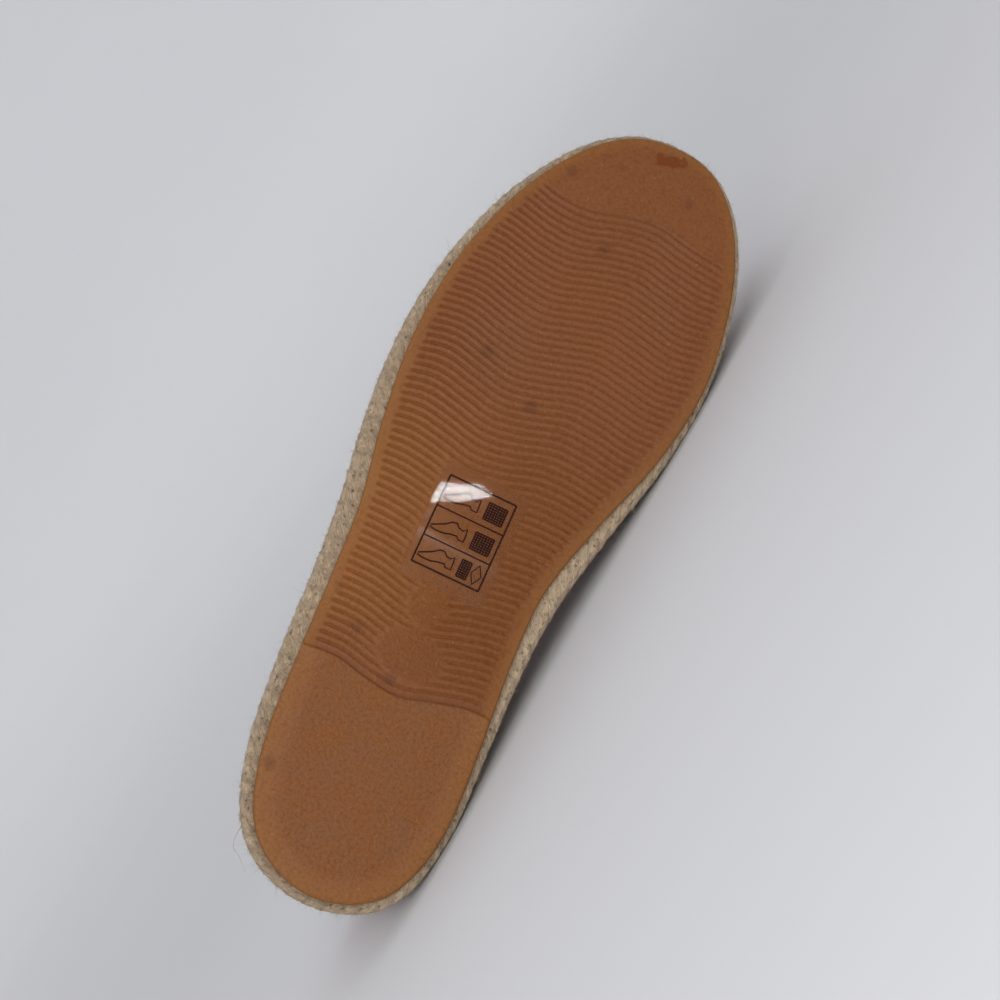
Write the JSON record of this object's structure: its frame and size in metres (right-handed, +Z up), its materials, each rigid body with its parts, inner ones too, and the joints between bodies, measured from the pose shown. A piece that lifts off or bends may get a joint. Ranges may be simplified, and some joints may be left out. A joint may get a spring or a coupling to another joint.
{
  "type": "espadrille",
  "caption": "Flat slip-on espadrille for a right foot: canvas upper, braided jute midsole and a wavy-grooved tan rubber outsole, lying on its side.",
  "frame": {"origin": "middle of the bounding box, on the floor that the shoe lies on", "axes": "+X towards the toe, -Y the way the sole faces, +Z up; the shoe lies on its medial side"},
  "size_m": [0.2548, 0.0744, 0.0888],
  "materials": {
    "rubber": "moulded tan crepe-coloured rubber, satin, with grooves and a pebbled heel patch",
    "jute": "braided natural jute, matt and hairy",
    "canvas": "plain-weave cotton canvas, muted dusty rose, matt",
    "insole_cloth": "natural cloth footbed, matt",
    "label_film": "clear printed film, glossy"
  },
  "bodies": {
    "root": {"outsole": "rubber", "midsole": "jute", "insole": "insole_cloth", "upper": "canvas"}
  },
  "joints": []
}
